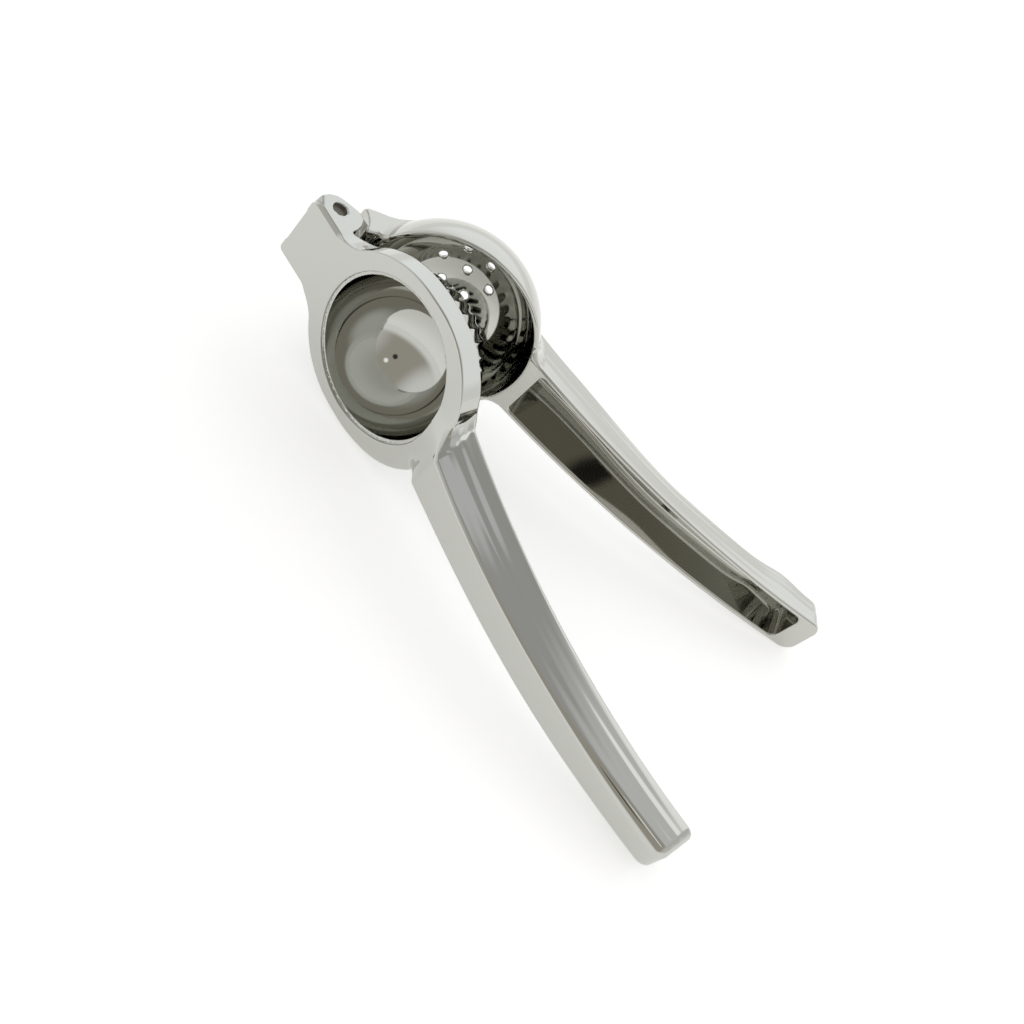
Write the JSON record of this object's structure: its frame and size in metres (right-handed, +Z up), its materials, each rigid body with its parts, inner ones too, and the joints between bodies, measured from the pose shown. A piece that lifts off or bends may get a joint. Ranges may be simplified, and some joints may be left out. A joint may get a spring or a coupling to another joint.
{
  "type": "citrus press juicer",
  "caption": "Hand citrus press: a ridged dome and a perforated cup on two hinged, hollow-handled chrome levers squeeze half a lemon or lime.",
  "frame": {"origin": "middle of the press's box in X and Y, at the level of the surface that it lies on", "axes": "+Z up from that surface; +X from the hinge towards the handle ends, the longest extent; the cup lever is on the +Y side and the dome lever on the -Y side"},
  "size_m": [0.2168, 0.1378, 0.067],
  "materials": {
    "press_casting": "bright chrome plate over a polished casting",
    "cup_casting": "bright chrome plate over a polished casting",
    "pin": "dull steel, cut ends set back in the ears"
  },
  "bodies": {
    "dome_side": {"press_lever": "press_casting", "hinge_pin": "pin"},
    "cup_side": {"cup_lever": "cup_casting"}
  },
  "joints": [
    {"name": "lever_hinge", "type": "hinge", "parent": "dome_side", "child": "cup_side", "pos_m": [-0.09985, -0.00172, 0.04014], "axis": [0.1509, 0, 0.9885], "range_deg": [-29.7, 110]}
  ]
}
